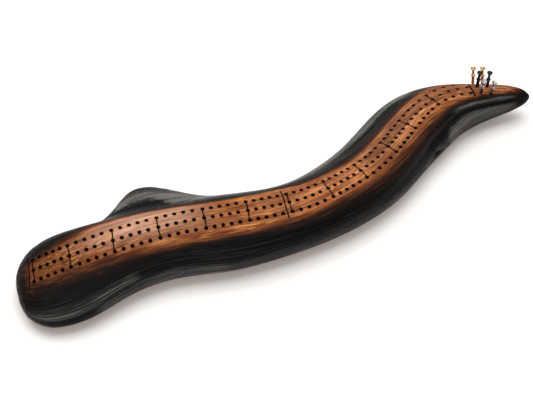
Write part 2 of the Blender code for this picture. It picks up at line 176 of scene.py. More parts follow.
# Carved strokes with painted light: shares of the length, degrees round the log at those shares (0 is its
# front, 90 its top, 180 its back), half width in degrees, depth, and how much lighter the char is, a
# painted sheen where above 0 and painted shade where below 0
STROKES = (
    # the valley along the pointed end with painted shade, its crest with painted sheen, and a painted
    # reflection below
    ((0.72, 0.77, 0.82, 0.87, 0.91, 0.95, 0.985), (24, 27, 34, 36, 33, 35, 50), 6, 0.0012, -0.75),
    ((0.83, 0.88, 0.92, 0.95, 0.98), (50, 50, 52, 57, 66), 7, -0.0005, 0.80),
    ((0.80, 0.88, 0.93, 0.98), (10, 10, 8, 12), 16, -0.0003, 0.85),
    # the fin's crest with a painted highlight, and the valley before it with painted shade
    ((0.19, 0.216, 0.232, 0.25, 0.28, 0.32), (169, 167, 167, 165, 161, 157), 5, -0.0007, 0.95),
    ((0.17, 0.196, 0.222, 0.255, 0.291, 0.34), (169, 162, 154, 150, 144, 136), 5, 0.0012, -0.70),
    # painted sheen streaks of the back flank, and a band of painted shade
    ((0.59, 0.65, 0.69, 0.73, 0.78, 0.82), (150, 151, 149, 149, 152, 146), 9, -0.0003, 1.7),
    ((0.62, 0.69, 0.73, 0.76, 0.80), (126, 127, 127, 132, 130), 7, 0.0004, -0.35),
    ((0.27, 0.42, 0.52, 0.61), (152, 148, 148, 150), 12, 0.0, 1.6),
    # streaks of the front flank: painted reflection low down and along its rib, painted shade below the
    # strip and in a valley
    ((0.0, 0.03, 0.08, 0.14, 0.2), (20, 26, 28, 30, 28), 11, 0.0, 0.40),
    ((0.02, 0.06, 0.11, 0.17, 0.25), (80, 66, 60, 57, 50), 8, 0.0003, -0.45),
    ((0.30, 0.45, 0.58, 0.66), (352, 350, 352, 356), 14, 0.0, 0.24),
    ((0.10, 0.18, 0.28, 0.36), (364, 360, 354, 352), 17, 0.0, 0.42),
    ((0.62, 0.68, 0.71, 0.76, 0.86), (355, 358, 1, 4, 8), 4, -0.0003, 0.25),
    ((0.64, 0.70, 0.76, 0.84), (345, 347, 352, 356), 5, -0.0003, 0.28),
    ((0.60, 0.68, 0.73, 0.78, 0.86), (14, 18, 22, 24, 30), 7, 0.0004, -0.45),
    # the knot's slit with painted shade, and its lip with a painted highlight
    ((0.732, 0.75, 0.772), (4, 3, 1), 2.6, 0.0030, -1.0),
    ((0.728, 0.75, 0.776), (10, 9, 7), 3, -0.0006, 0.45),
    # the fine groove between the rows, a faint dent with a painted shadow arc by the silver pegs' feet, and
    # the cracks of the thick end, all with painted shade
    ((0.688, 0.73, 0.77, 0.812), (90, 90, 91, 91.5), 1.6, 0.0003, -0.55),
    ((0.904, 0.918, 0.934), (77, 73.5, 73.5), 1.8, 0.0002, -1.2),
    ((0.0, 0.012, 0.024), (72, 60, 50), 3, 0.0008, -0.9),
    ((0.0, 0.01, 0.022), (96, 82, 68), 3, 0.0005, -0.6),
)

# The golden brown strip that the track runs along, at equal steps along the log
STRIP_BACK_SHARES = (
    0.10, 0.22, 0.40, 0.62, 0.66, 0.56, 0.50, 0.46, 0.48, 0.53, 0.49, 0.46, 0.48, 0.47, 0.54, 0.51,
    0.49, 0.50, 0.60, 0.60, 0.55,
)
STRIP_FRONT_SHARES = (
    0.28, 0.33, 0.38, 0.36, 0.45, 0.51, 0.56, 0.54, 0.55, 0.52, 0.46, 0.42, 0.44, 0.42, 0.43, 0.46,
    0.50, 0.50, 0.42, 0.20, -0.30,
)
BACK_SOFT_SHARES = (
    0.14, 0.14, 0.14, 0.10, 0.06, 0.04, 0.04, 0.04, 0.04, 0.04, 0.04, 0.05, 0.07, 0.08, 0.08, 0.08,
    0.06, 0.06, 0.06, 0.06, 0.06,
)
FRONT_SOFT_SHARES = (
    0.20, 0.22, 0.22, 0.20, 0.14, 0.10, 0.08, 0.07, 0.07, 0.09, 0.12, 0.14, 0.16, 0.18, 0.20, 0.18,
    0.14, 0.08, 0.06, 0.05, 0.05,
)
STRIP_START_SHARE = 0.024
STRIP_END_SHARE = 0.975
END_SOFT = 0.006
TOP_SOFT = 0.004

# Tones of the strip at equal steps along the log: golden flecks, a painted pale sheen and lightness
GOLD_SHARES = (
    0.6, 1.0, 1.0, 0.8, 0.6, 0.5, 0.5, 0.5, 0.6, 0.6, 0.5, 0.4, 0.5, 0.6, 0.7, 0.8, 0.7, 0.5, 0.3,
    0.2, 0.2,
)
PAINTED_SHEEN_SHARES = (
    -0.1, -0.1, 0.1, 0.8, 1.1, 1.2, 1.1, -0.2, 0.1, 0.05, 0.08, 0.08, 0.15, 0.15, 0.22, 0.25, 0.2,
    0.15, 0.15, 0.2, 0.2,
)
LIGHT_SHARES = (
    0.33, 0.38, 0.84, 1.02, 1.10, 0.99, 0.83, 1.02, 1.27, 0.80, 1.46, 1.22, 1.55, 0.80, 0.82, 1.08,
    1.06, 0.86, 0.94, 0.80, 0.68,
)
# where the painted sheen fades across the strip
PAINTED_SHEEN_EDGE_SHARE = 0.36
PAINTED_SHEEN_SOFT_SHARE = 0.50
FRONT_GOLD = 0.5

# The pegs, above the board and in their holes
PEG_HEIGHT = 0.0185
# How far the pegs of each row, from the back, lean towards X and Y as they rise
PEG_LEAN_SHARES = ((0.07, 0.215, 1.0), (0.135, 0.075, 1.0), (0.02, -0.12, 1.0))
PEG_PITCH = 0.0101
FIRST_PEG_BACK = 0.0013
HEAD_DIAMETER = 0.0059
SEAT_LIP = 0.0001
PEG_SEAT = HOLE_DIAMETER + 2 * SEAT_LIP
PEG_OUTLINE_SHARES = (
    (0.972, 0.0),
    (0.976, 0.35),
    (0.986, 0.6),
    (0.997, 0.78),
    (0.985, 0.92),
    (0.962, 0.985),
    (0.940, 0.98),
    (0.915, 0.88),
    (0.885, 0.76),
    (0.850, 0.6),
    (0.810, 0.47),
    (0.750, 0.42),
    (0.690, 0.425),
    (0.630, 0.455),
    (0.590, 0.53),
    (0.560, 0.64),
    (0.530, 0.76),
    (0.508, 0.8),
    (0.490, 0.8),
    (0.465, 0.73),
    (0.440, 0.63),
    (0.420, 0.56),
    (0.300, 0.54),
    (0.140, 0.54),
    (0.040, 0.58),
)
TIP_SHARE = 0.8
PEG_SIDES = 48
PEG_SHARP_ANGLE = math.radians(50)
FIT_GAP = 0.0003

# What lies under the board
STORE_SHARE = 0.52
STORE_LENGTH = 0.040
STORE_WIDTH = 0.018
STORE_DEPTH = 0.015
SCREW_HOLE = 0.0036
ROUND_SIDES = 24

# Noises of the finishes: ripples in a metre along, across and up, then detail, roughness, distortion
PATCH_NOISE = ((9, 42, 42), 3.0, 0.5, 0.8)
BROAD_NOISE = ((9, 110, 110), 4.0, 0.6, 0.8)
STREAK_NOISE = ((26, 480, 480), 5.0, 0.65, 0.6)
FIBRE_NOISE = ((90, 1700, 1700), 3.0, 0.6, 0.0)
FLECK_NOISE = ((75, 620, 620), 2.0, 0.5, 0.3)
VEIN_NOISE = ((18, 700, 700), 3.0, 0.65, 0.6)
STRAND_NOISE = ((18, 560, 560), 4.0, 0.7, 0.5)
EDGE_NOISE = ((22, 380, 380), 5.0, 0.7, 0.6)
RING_NOISE = ((90, 90, 4200), 2.0, 0.5, 0.0)
STAIN_NOISE = ((420, 420, 420), 3.0, 0.6, 0.0)
RUBBER_NOISE = ((1500, 1500, 1500), 3.0, 0.6, 0.0)
NOISE_MIDDLE = 0.5

# Colour ramps over those noises, and the scorched edge's ramp from char to wood
WOOD_STOPS = (
    (0.40, (0.100, 0.026, 0.009)),
    (0.46, (0.250, 0.075, 0.026)),
    (0.53, (0.430, 0.150, 0.052)),
    (0.60, (0.720, 0.300, 0.110)),
)
# the strip's painted sheen
PAINTED_SHEEN_STOPS = ((0.40, (0.460, 0.230, 0.140)), (0.60, (0.840, 0.510, 0.360)))
CHAR_STOPS = (
    (0.40, (0.0006, 0.0006, 0.0006)),
    (0.53, (0.0016, 0.0016, 0.0016)),
    (0.66, (0.0200, 0.0195, 0.0190)),
)
# painted sheen and reflection on the char, where its strokes are light
PAINTED_CHAR_SHEEN_STOPS = ((0.38, (0.052, 0.050, 0.048)), (0.62, (0.165, 0.161, 0.154)))
SCORCH_STOPS = (
    (0.05, (0.0030, 0.0026, 0.0024)),
    (0.36, (0.0110, 0.0052, 0.0034)),
    (0.60, (0.0650, 0.0200, 0.0080)),
    (0.80, (0.1900, 0.0580, 0.0180)),
    (0.97, (0.3100, 0.1000, 0.0280)),
)
RUBBER_STOPS = ((0.35, (0.012, 0.012, 0.012)), (0.65, (0.030, 0.029, 0.028)))

# Colours laid over the wood and the char
GOLD_COLOUR = (0.820, 0.380, 0.105)
PATCH_COLOUR = (0.120, 0.034, 0.014)
VEIN_COLOUR = (0.060, 0.016, 0.007)
FIBRE_COLOUR = (0.100, 0.028, 0.010)
BARE_COLOUR = (0.200, 0.085, 0.040)
RIM_COLOUR = (0.045, 0.014, 0.006)
# painted shade in carved valleys, grooves, the slit and cracks
PAINTED_SHADE_COLOUR = (0.0016, 0.0014, 0.0013)
# near black walls of the cuts: burnt in the lines, painted shade in the holes
CUT_BURN_AND_SHADE_COLOUR = (0.0050, 0.0042, 0.0040)

# Where each colour lies: a span of a noise or a value, and the shares at its two ends if not 0 and 1.
# The stain's last share is its metal's own.
GOLD_SPAN = (0.56, 0.68)
PATCH_SPAN = (0.40, 0.58, 0.35, 0.0)
VEIN_SPAN = (0.36, 0.45, 0.8, 0.0)
FIBRE_SPAN = (0.3, 0.7, 0.35, 0.0)
# where the painted sheen shows along the char's strands
PAINTED_CHAR_SHEEN_SPAN = (0.36, 0.62, 0.25, 1.5)
BARE_HEIGHT_SPAN = (0.0112, 0.0142, 1.0, 0.0)
BARE_SPAN = (0.35, 0.50)
SCORCH_SPAN = (-2.2, 1.2)
CHAR_EDGE_SPAN = (-2.4, -1.2)
WOOD_EDGE_SPAN = (0.3, 1.2)
RIM_SPAN = (0.35, 1.0, 0.0, 0.65)
# how deep into a cut its walls turn near black, burnt lines and painted shade in holes
CUT_BURN_AND_SHADE_SPAN = (0.1, 0.7)
STAIN_SPAN = (0.42, 0.62, 0.0)

# How strongly streaks, painted sheen and painted shade show, and how far noise moves the scorched edge
STREAK_SHARE = 0.6
PAINTED_SHEEN_SHARE = 0.85
PAINTED_SHADE_SHARE = 0.85
EDGE_DRIFT = 4.4

# Gloss and fine bumps, a bump as its height in metres and its strength
WOOD_SPECULAR = 0.06
WOOD_ROUGHNESS_SPAN = (-1.2, 0.8, 0.36, 0.74)
WOOD_BUMP = (0.0007, 0.8)
FIBRE_BUMP_SHARE = 0.4
METAL_SPECULAR = 0.3
METAL_ROUGHNESS_DRIFT = 0.10
RING_BUMP = (0.00002, 0.35)
RUBBER_ROUGHNESS_SPAN = (0.3, 0.7, 0.7, 0.9)
RUBBER_BUMP = (0.0001, 0.5)

# Metals: slot, colour, stained colour, how strong the stain is, roughness, metallic
METAL_LOOKS = {
    "brass": ("brass", (0.80, 0.50, 0.20), (0.40, 0.22, 0.07), 0.5, 0.18, 1.0),
    "black": ("black_metal", (0.002, 0.002, 0.003), (0.001, 0.001, 0.001), 0.8, 0.15, 0.0),
    "silver": ("silver_metal", (0.38, 0.37, 0.345), (0.07, 0.065, 0.06), 0.8, 0.22, 1.0),
}

# The camera
CAMERA_TARGET = (-0.01212, 0.01129, 0)
CAMERA_DISTANCE = 1.61925
CAMERA_ELEVATION = math.radians(50)
CAMERA_TURN = math.radians(-30)
SENSOR_WIDTH = 36
FOCAL_LENGTH = 111.45

# The floor and the light, each lamp with its place, size, power and colour
FLOOR_SIZE = 8.0
FLOOR_COLOUR = (0.78, 0.78, 0.78)
FLOOR_SEEN_COLOUR = (1.0, 1.0, 1.0)
FLOOR_GLOW = 0.045
FLOOR_GLOW_COLOUR = (1.0, 0.93, 0.85)
WORLD_COLOUR = (1.0, 0.95, 0.90)
WORLD_STRENGTH = 0.42
LAMPS = (
    ("key_softbox", (0.15, 0.60, 1.90), (2.6, 2.2), 46, (1.0, 0.99, 0.98)),
    ("front_softbox", (-0.45, -1.35, 0.85), (0.9, 0.6), 5, (1.0, 1.0, 1.0)),
)


def smooth(values, share):
    """Uniform cubic B-spline drawn through a table, at shares from 0 to 1 of its span."""
    table = np.array(values, dtype=float)
    table = np.concatenate([[2 * table[0] - table[1]], table, [2 * table[-1] - table[-2]]])
    spans = len(values) - 1
    place = np.clip(np.asarray(share, dtype=float), 0, 1) * spans
    index = np.minimum(place.astype(int), spans - 1)
    t = place - index
    weights = ((1 - t) ** 3, 3 * t**3 - 6 * t**2 + 4, 1 + 3 * t + 3 * t**2 - 3 * t**3, t**3)
    return sum(weight * table[index + k] for k, weight in enumerate(weights)) / 6


def end_round(distance, reach, power):
    """Rise from 0 at a tip to 1 at the given reach from it."""
    x = np.clip(distance / reach, 0, 1)
    return (1 - (1 - x) ** power) ** (1 / power)


def spine(share):
    """Plan place of the log's middle line, and its unit heading."""
    x = (share - 0.5) * LENGTH
    y = SWAY * smooth(SWAY_SHARES, share)
    low = np.clip(share - SLOPE_STEP_SHARE, 0, 1)
    high = np.clip(share + SLOPE_STEP_SHARE, 0, 1)
    slope = SWAY * (smooth(SWAY_SHARES, high) - smooth(SWAY_SHARES, low)) / (LENGTH * (high - low))
    norm = np.hypot(1, slope)
    return x, y, 1 / norm, slope / norm


def section(share):
    """Half width, height of the widest level, rise above and drop below it, crown's lean, end rounding."""
    rounding = end_round(share * LENGTH, THICK_END_REACH, THICK_END_POWER)
    rounding = rounding * end_round((1 - share) * LENGTH, POINTED_REACH, POINTED_POWER)
    height = HEIGHT * smooth(HEIGHT_SHARES, share)
    half_width = HALF_WIDTH * smooth(WIDTH_SHARES, share) * rounding
    belly = BELLY_SHARE * height
    lean = smooth(LEAN_SHARES, share)
    return half_width, belly, (height - belly) * rounding, belly * rounding, lean, rounding


def plan(share, side):
    """Plan place at a side distance from the middle line."""
    x, y, along_x, along_y = spine(share)
    return x + along_y * side, y - along_x * side


def top_height(share, side):
    """Height of the upper surface at a side distance from the middle line."""
    half_width, belly, rise, _, lean, _ = section(share)
    across = np.clip(side / half_width, -1, 1)
    return belly + rise * (1 - np.abs(across) ** SIDE_POWER) ** (1 / TOP_POWER) * (1 - lean * across)


def power_wave(wave, power):
    """A sine or cosine bent towards a square wave."""
    return np.sign(wave) * np.abs(wave) ** (2 / power)


def ring(share, angles):
    """Points round the section at one share, in the board's own frame."""
    half_width, belly, rise, drop, lean, rounding = section(share)
    across = power_wave(np.cos(angles), SIDE_POWER)
    upper = rise * power_wave(np.abs(np.sin(angles)), TOP_POWER) * (1 - lean * across)
    lower = -drop * power_wave(np.abs(np.sin(angles)), UNDER_POWER)
    z = np.maximum(belly + np.where(np.sin(angles) >= 0, upper, lower), UNDERSIDE)
    offset = (share - LOBE_SHARE) * LENGTH
    reach = LOBE_RISE if offset < 0 else LOBE_FALL
    lobe = LOBE_REACH * rounding * math.exp(-((offset / reach) ** 2))
    hollow = HOLLOW_DEPTH * rounding * smooth(HOLLOW_SHARES, share)
    side = half_width * across
    side = side - lobe * np.exp(-(((angles - LOBE_ANGLE) / LOBE_SPREAD_ANGLE) ** 2))
    side = side - hollow * np.exp(-(((angles - HOLLOW_ANGLE) / HOLLOW_SPREAD_ANGLE) ** 2))
    x, y = plan(share, side)
    return np.stack([x, y, z], axis=1)


def station_shares(count):
    """Shares of the length for the rings, closer together near the two tips, with one through the fin."""
    even = np.linspace(0, 1, count)
    eased = 0.5 - 0.5 * np.cos(math.pi * even)
    shares = even + TIP_CROWDING_SHARE * (eased - even)
    return np.union1d(shares, LOBE_SHARE)


def board_rings(stations, ring_points):
    """The two tips and all the rings between them."""
    angles = np.arange(ring_points) * 2 * math.pi / ring_points
    shares = station_shares(stations)
    rings = [ring(share, angles) for share in shares[1:-1]]
    tips = []
    for share in (shares[0], shares[-1]):
        x, y, _, _ = spine(share)
        tips.append(np.array([x, y, BELLY_SHARE * HEIGHT * smooth(HEIGHT_SHARES, share)]))
    return tips, rings


def board_middle():
    """Plan middle of the log's box, which becomes the origin, on the table."""
    tips, rings = board_rings(STATIONS, RING_POINTS)
    points = np.concatenate([tips] + rings)
    low, high = points.min(axis=0), points.max(axis=0)
    return Vector(((low[0] + high[0]) / 2, (low[1] + high[1]) / 2, 0))


ORIGIN = board_middle()


def surface_point(share, side):
    """Point on the upper surface."""
    x, y = plan(share, side)
    return Vector((x, y, top_height(share, side))) - ORIGIN


def surface_frame(share, side):
    """Frame on the upper surface: X along the log, Z out of the wood."""
    here = surface_point(share, side)
    step = SLOPE_STEP_SHARE * LENGTH
    along = surface_point(share + SLOPE_STEP_SHARE, side) - surface_point(share - SLOPE_STEP_SHARE, side)
    across = surface_point(share, side - step) - surface_point(share, side + step)
    out = along.cross(across).normalized()
    along.normalize()
    place = Matrix((along, out.cross(along), out)).transposed().to_4x4()
    place.translation = here
    return place


class Track:
    """Middle row of the track, measured along its own length."""

    def __init__(self):
        self.shares = np.linspace(0, 1, TRACK_SAMPLES)
        x, y = plan(self.shares, self.side(self.shares))
        steps = np.hypot(np.diff(x), np.diff(y))
        self.lengths = np.concatenate([[0], np.cumsum(steps)])
        self.start = TRACK_START_SHARE * self.lengths[-1]
        self.span = TRACK_SPAN_SHARE * self.lengths[-1]
        self.marks = np.concatenate([[0], np.cumsum(GROUP_SHARES)]) * self.span / sum(GROUP_SHARES)

    def side(self, share):
        """Side distance of the middle row from the log's middle line."""
        return HALF_WIDTH * smooth(TRACK_SHARES, share)

    def place(self, mark, across):
        """Share and side of a place: a distance along the track, and one across it over the surface."""
        share = np.interp(self.start + mark, self.lengths, self.shares)
        side = self.side(share)
        slope = (top_height(share, side + ROW_GAP / 2) - top_height(share, side - ROW_GAP / 2)) / ROW_GAP
        across = across / math.hypot(1, slope)
        slant = smooth(SLANT_SHARES, share)
        share = float(np.interp(self.start + mark + slant * across, self.lengths, self.shares))
        return share, float(self.side(share) + across)

    def hole_marks(self):
        """Distances along the track of every hole of one row."""
        marks = []
        for start, end in zip(self.marks[:-1], self.marks[1:]):
            step = (end - start) * HOLE_STEP_SHARE
            marks += [start + step * k for k in range(HOLES_IN_GROUP)]
        return marks

    def peg_marks(self):
        """Distances along the track of the two columns of start holes."""
        first = self.marks[-1] - FIRST_PEG_BACK
        return [first, first + PEG_PITCH]

    def line_marks(self):
        """One line through the first holes of each group, and plain lines at start, middle and end."""
        through = [(mark, ROW_GAP) for mark in self.marks[:-1]]
        plain = [(self.marks[k] - PLAIN_LINE_BACK, PLAIN_LINE_REACH) for k in (0, MIDDLE_GROUP)]
        return through + plain + [(self.marks[-1] - END_LINE_BACK, END_LINE_REACH)]


TRACK = Track()


def from_spine(points, share):
    """Distances of points ahead of the middle line at each share and to its side, and its X heading."""
    x, y, along_x, along_y = spine(share)
    away_x, away_y = points[:, 0] - x, points[:, 1] - y
    return away_x * along_x + away_y * along_y, away_x * along_y - away_y * along_x, along_x


def straighten(points):
    """Share of the length, distance ahead of that share and side distance of points on the log."""
    points = points + np.array(ORIGIN)
    share = np.clip(points[:, 0] / LENGTH + 0.5, 0, 1)
    for _ in range(STRAIGHTEN_PASSES):
        ahead, side, along_x = from_spine(points, share)
        share = np.clip(share + ahead * along_x / LENGTH, 0, 1)
    ahead, side, along_x = from_spine(points, share)
    return share, ahead, side


def grain_places(points):
    """Places as if the log were straight: along it, across it and up."""
    share, ahead, side = straighten(points)
    return np.stack([share * LENGTH + ahead, side, points[:, 2]], axis=1)


def flow_places(points):
    """Places as if every section were the same circle, so that streaks run with the form to its tips."""
    share, ahead, side = straighten(points)
    half_width, belly, rise, drop, _, _ = section(share)
    up = (points[:, 2] - belly) / np.maximum(np.where(points[:, 2] > belly, rise, drop), SINK)
    across = side / np.maximum(half_width, SINK)
    scale = HALF_WIDTH / np.maximum(np.hypot(across, up), SINK)
    return np.stack([share * LENGTH + ahead, across * scale, up * scale], axis=1)


def strip_values(points):
    """How far inside the strip points lie: 1 is well inside, -1 is well outside, 0 is its edge."""
    share, ahead, side = straighten(points)
    track_side = side - TRACK.side(share)
    along = share * LENGTH + ahead
    back = (track_side + HALF_WIDTH * smooth(STRIP_BACK_SHARES, share)) / smooth(BACK_SOFT_SHARES, share)
    front = (HALF_WIDTH * smooth(STRIP_FRONT_SHARES, share) - track_side) / smooth(FRONT_SOFT_SHARES, share)
    start = (along - STRIP_START_SHARE * LENGTH) / END_SOFT
    end = (STRIP_END_SHARE * LENGTH - along) / END_SOFT
    belly = BELLY_SHARE * HEIGHT * smooth(HEIGHT_SHARES, share)
    top = (points[:, 2] - belly) / TOP_SOFT
    return np.minimum.reduce([back / HALF_WIDTH, front / HALF_WIDTH, start, end, top])


def painted_sheen_values(points):
    """How pale the strip's painted sheen is, most along its back row, and how near to its front edge points
    lie.
    """
    share, _, side = straighten(points)
    across = (side - TRACK.side(share)) / HALF_WIDTH
    back = np.clip((PAINTED_SHEEN_EDGE_SHARE - across) / PAINTED_SHEEN_SOFT_SHARE, 0, 1)
    return smooth(PAINTED_SHEEN_SHARES, share) * back, 1 - back


def ripple(places, rate, seed):
    """Noise between about -1 and 1, drawn out along the grain."""
    stretched = places * np.array(rate) + seed
    return np.array([noise.noise(place) for place in stretched.tolist()])


def set_attribute(mesh, name, values):
    """Give each point of the mesh a number or a vector that its material reads."""
    kind, key = ("FLOAT_VECTOR", "vector") if values.ndim == 2 else ("FLOAT", "value")
    attribute = mesh.attributes.new(name, kind, "POINT")
    attribute.data.foreach_set(key, values.astype(np.float32).ravel())


def read_vectors(items, key):
    """One row of three numbers for each item of a mesh."""
    values = np.empty(3 * len(items), dtype=np.float32)
    items.foreach_get(key, values)
    return values.reshape(-1, 3).astype(float)


def stroke_values(shares, angles):
    """Depth and painted light of the carved strokes at places on the log (angles in degrees)."""
    depth, tone = np.zeros(len(shares)), np.zeros(len(shares))
    for along, round_at, half_width, deep, light in STROKES:
        gap = (angles - np.interp(shares, along, round_at) + 180) % 360 - 180
        inside = np.minimum(shares - along[0], along[-1] - shares) / STROKE_FADE_SHARE
        weight = np.clip(inside, 0, 1) * np.exp(-((gap / half_width) ** 2))
        depth, tone = depth + deep * weight, tone + light * weight
    return depth, tone


def fine_places():
    """Share of the length and degrees round the log of each point of the fine surface, its tips last."""
    shares = station_shares(FINE_STATIONS)[1:-1]
    angles = np.arange(FINE_RING_POINTS) * 360 / FINE_RING_POINTS
    along = np.append(np.repeat(shares, FINE_RING_POINTS), [0.0, 1.0])
    return along, np.append(np.tile(angles, len(shares)), [0.0, 0.0])


def fine_log_faces(rows):
    """Quads between the rings, and triangles from the end rings to the tips, which are the last points."""
    count = FINE_RING_POINTS
    faces = []
    for row in range(rows - 1):
        base = row * count
        for k in range(count):
            before = (k - 1) % count
            faces.append((base + k, base + before, base + count + before, base + count + k))
    for tip, base, turn in ((rows * count, 0, 1), (rows * count + 1, (rows - 1) * count, -1)):
        for k in range(count):
            faces.append((base + (k - 1) % count, base + k, tip)[::turn])
    return faces


def fine_log_mesh():
    """The bare log with many rings, its surface carved and grained."""
    tips, rings = board_rings(FINE_STATIONS, FINE_RING_POINTS)
    points = np.concatenate(rings + [np.array(tips)]) - np.array(ORIGIN)
    mesh = bpy.data.meshes.new("board_wood")
    mesh.from_pydata(points.tolist(), [], fine_log_faces(len(rings)))
    normals = read_vectors(mesh.vertex_normals, "vector")
    places = grain_places(points)
    softness = np.clip(strip_values(points), 0, 1)
    share = 1 - (1 - RELIEF_ON_TRACK_SHARE) * softness
    carving = CARVING_DEPTH * ripple(places, CARVING_RATE, CARVING_SEED)
    grain = GRAIN_DEPTH * np.clip(ripple(places, GRAIN_RATE, GRAIN_SEED), -GRAIN_LIMIT, GRAIN_LIMIT)
    strokes, _ = stroke_values(*fine_places())
    depth = share * (carving + grain) + strokes
    depth[points[:, 2] <= UNDERSIDE + SINK] = 0
    points = points - normals * depth[:, None]
    low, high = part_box("board_body")
    points = np.clip(points, np.array(low) + BOX_MARGIN, np.array(high) - BOX_MARGIN)
    mesh.vertices.foreach_set("co", points.astype(np.float32).ravel())
    mesh.update()
    return mesh


def add_object(name, data):
    """A new object in the scene, for a mesh, a lamp or a camera."""
    made = bpy.data.objects.new(name, data)
    bpy.context.scene.collection.objects.link(made)
    return made


def mesh_from(bm, name):
    """Turn a bmesh into a mesh, its faces outwards, and free it."""
    bmesh.ops.recalc_face_normals(bm, faces=bm.faces)
    mesh = bpy.data.meshes.new(name)
    bm.to_mesh(mesh)
    bm.free()
    return mesh


def add_cylinder(bm, place, radius, low, high):
    """Add an upright cylinder between two heights in the frame of a place."""
    middle = place @ Matrix.Translation((0, 0, (low + high) / 2))
    size = {"radius1": radius, "radius2": radius, "depth": high - low}
    return bmesh.ops.create_cone(bm, cap_ends=True, segments=ROUND_SIDES, matrix=middle, **size)["verts"]


def loft(bm, loops):
    """Add a closed skin over loops of points, one after the other."""
    rows = [[bm.verts.new(point) for point in loop] for loop in loops]
    for near, far in zip(rows[:-1], rows[1:]):
        for k in range(len(near)):
            bm.faces.new((near[k], near[k - 1], far[k - 1], far[k]))
    bm.faces.new(rows[0])
    bm.faces.new(reversed(rows[-1]))


def hole_frames():
    """Frames of all the track holes, each square to the wood."""
    return [surface_frame(*TRACK.place(mark, row * ROW_GAP)) for mark in TRACK.hole_marks() for row in ROWS]


def start_frame(share, side, lean_shares):
    """Frame of a peg in its start hole, which is drilled the way that the pegs of its row lean.

    It lies so far out of the wood that the peg's seat clears the wood all round.
    """
    place = surface_frame(share, side)
    out = place.col[2].to_3d()
    lean = Vector(lean_shares).normalized()
    along = place.col[1].to_3d().cross(lean).normalized()
    drilled = Matrix((along, lean.cross(along), lean)).transposed().to_4x4()
    drilled.translation = place.translation + lean * (PEG_SEAT / 2 * math.tan(out.angle(lean)))
    return drilled


def peg_frames(row):
    """Frames of the two pegs of a row."""
    lean = PEG_LEAN_SHARES[ROWS.index(row)]
    return [start_frame(*TRACK.place(mark, row * ROW_GAP), lean) for mark in TRACK.peg_marks()]


def drill_mesh():
    """Every hole as a turned drill with a small countersink at its mouth.

    The start holes' mouths lie anywhere on their drills, so their walls have more rings to carry their
    painted shade.
    """
    bm = bmesh.new()
    angles = np.arange(FINE_HOLE_SIDES) * 2 * math.pi / FINE_HOLE_SIDES
    start_frames = [place for row in ROWS for place in peg_frames(row)]
    for places, rings in ((hole_frames(), 2), (start_frames, START_HOLE_RINGS)):
        profile = [(HOLE_DIAMETER / 2, -depth) for depth in np.linspace(HOLE_DEPTH, SINK_DEPTH, rings)]
        profile += [(SINK_RADIUS, 0), (SINK_RADIUS, CUT_OVERRUN)]
        for place in places:
            sink = place @ Matrix.Translation((0, 0, -SINK - CARVING_DEPTH * RELIEF_ON_TRACK_SHARE / 2))
            loops = []
            for radius, height in profile:
                spots = [(radius * math.cos(a), radius * math.sin(a), height) for a in angles]
                loops.append([sink @ Vector(spot) for spot in spots])
            loft(bm, loops)
    return mesh_from(bm, "drills")


def scribe_mesh():
    """A curved bar for each scribed line, a little unsteady as a hand draws it."""
    bm = bmesh.new()
    marks = TRACK.line_marks()
    for number, (mark, reach) in enumerate(marks):
        last = number == len(marks) - 1
        half = (END_LINE_WIDTH if last else LINE_WIDTH) / 2
        foot = LINE_FOOT_SHARE * half
        corners = ((-half, CUT_OVERRUN), (-foot, -LINE_DEPTH), (foot, -LINE_DEPTH), (half, CUT_OVERRUN))
        shift, turn, stretch = (END_LINE_SHIFT, END_LINE_TURN, END_LINE_STRETCH) if last else (0, 0, 1)
        loops = []
        for step in np.linspace(-1, 1, FINE_LINE_POINTS):
            sway = LINE_WOBBLE * math.sin(LINE_WOBBLE_ANGLE * step + LINE_WOBBLE_START_ANGLE * number)
            place = surface_frame(*TRACK.place(mark + sway + shift + turn * step, step * reach * stretch))
            loops.append([place @ Vector((x, 0, z)) for x, z in corners])
        loft(bm, loops)
    return mesh_from(bm, "scribes")


def under_frame(share, side):
    """Frame on the flat underside: X along the log, Z down out of the wood."""
    x, y = plan(share, side)
    _, _, along_x, along_y = spine(share)
    along = Vector((along_x, along_y, 0))
    out = Vector((0, 0, -1))
    place = Matrix((along, out.cross(along), out)).transposed().to_4x4()
    place.translation = Vector((x, y, UNDERSIDE)) - ORIGIN
    return place


def under_mesh():
    """The peg store, the screws' holes and the feet's seats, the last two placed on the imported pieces."""
    bm = bmesh.new()
    stretch = (STORE_LENGTH - STORE_WIDTH) / 2
    verts = add_cylinder(bm, Matrix.Identity(4), STORE_WIDTH / 2, -STORE_DEPTH, CUT_OVERRUN)
    for vert in verts:
        vert.co.x += math.copysign(stretch, vert.co.x)
    bmesh.ops.transform(bm, matrix=under_frame(STORE_SHARE, 0), verts=verts)
    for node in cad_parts:
        if not node.startswith("foot") and not node.endswith("screw"):
            continue
        low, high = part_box(node)
        radius = SCREW_HOLE / 2 if node.endswith("screw") else (high.x - low.x) / 2 + FIT_GAP
        place = Matrix.Translation(((low.x + high.x) / 2, (low.y + high.y) / 2, 0))
        add_cylinder(bm, place, radius, UNDERSIDE - CUT_OVERRUN, high.z + FIT_GAP)
    return mesh_from(bm, "under_cuts")


def cut_away(piece, cutter_mesh):
    """Cut the mesh out of the piece for good."""
    cutter = add_object(cutter_mesh.name, cutter_mesh)
    modifier = piece.modifiers.new("cut", "BOOLEAN")
    modifier.operation = "DIFFERENCE"
    modifier.solver = "MANIFOLD"
    modifier.object = cutter
    depsgraph = bpy.context.evaluated_depsgraph_get()
    cut_mesh = bpy.data.meshes.new_from_object(piece.evaluated_get(depsgraph))
    piece.modifiers.clear()
    piece.data = cut_mesh
    bpy.data.objects.remove(cutter)


